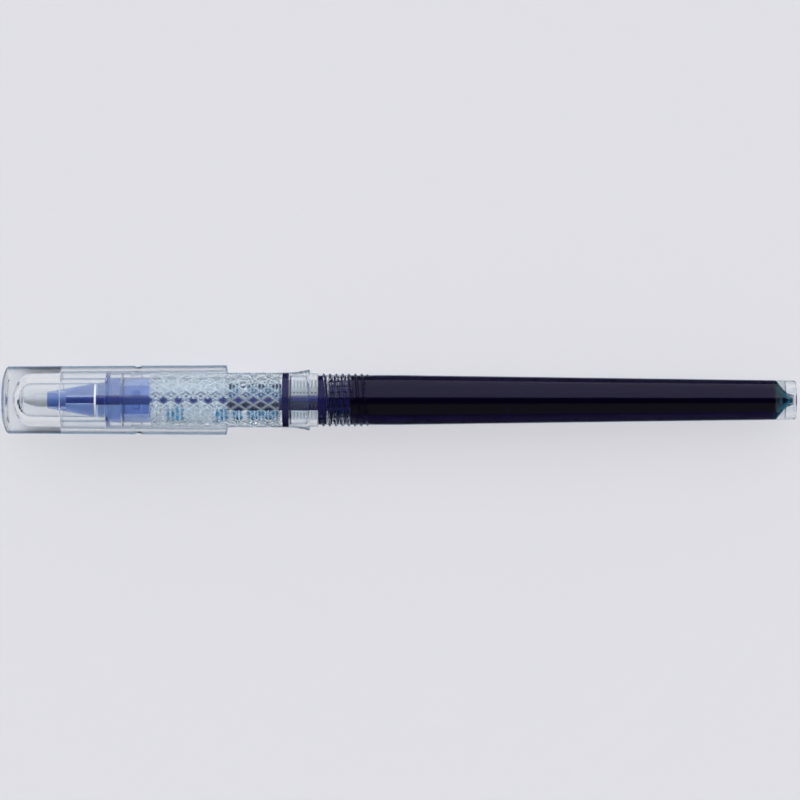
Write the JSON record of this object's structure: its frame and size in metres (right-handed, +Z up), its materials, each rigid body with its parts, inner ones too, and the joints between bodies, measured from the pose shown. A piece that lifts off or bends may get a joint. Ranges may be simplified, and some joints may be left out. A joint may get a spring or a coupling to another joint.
{
  "type": "rollerball refill",
  "caption": "Liquid-ink rollerball refill: steel point, finned collector, knurled clear front, threaded neck, tapered ink barrel and clear push-on cap.",
  "frame": {"origin": "on the axis, at the rear face of the front housing's collar, where the refill seats in its pen", "axes": "+X along the axis towards the tail, +Z up, +Y completes the right-handed frame"},
  "size_m": [0.1251, 0.011, 0.011],
  "materials": {
    "cap_san": "clear moulded, polished",
    "carbide": "polished ball",
    "point_steel": "fine-turned",
    "tinted_polymer": "translucent blue, moulded",
    "wick_fibre": "bonded fibre, ink-soaked",
    "housing_clear": "clear moulded, knurled",
    "comb_clear": "clear moulded fins, ink-stained",
    "reservoir_clear": "clear moulded, polished",
    "ink": "liquid, glossy"
  },
  "bodies": {
    "refill": {"steel_point": "point_steel", "tip_holder": "tinted_polymer", "wick": "wick_fibre", "front_housing": "housing_clear", "collector": "comb_clear", "reservoir": "reservoir_clear", "collector_ink": "ink", "ink_charge": "ink"},
    "cap": {"travel_cap": "cap_san"},
    "ball": {"writing_ball": "carbide"}
  },
  "joints": [
    {"name": "cap_pull", "type": "slide", "parent": "refill", "child": "cap", "axis": [-1, 0, 0], "range_m": [0, 0.036]},
    {"name": "ball_roll", "type": "hinge", "parent": "refill", "child": "ball", "pos_m": [-0.0452, 0, 0], "axis": [0, 1, 0], "continuous": true}
  ]
}
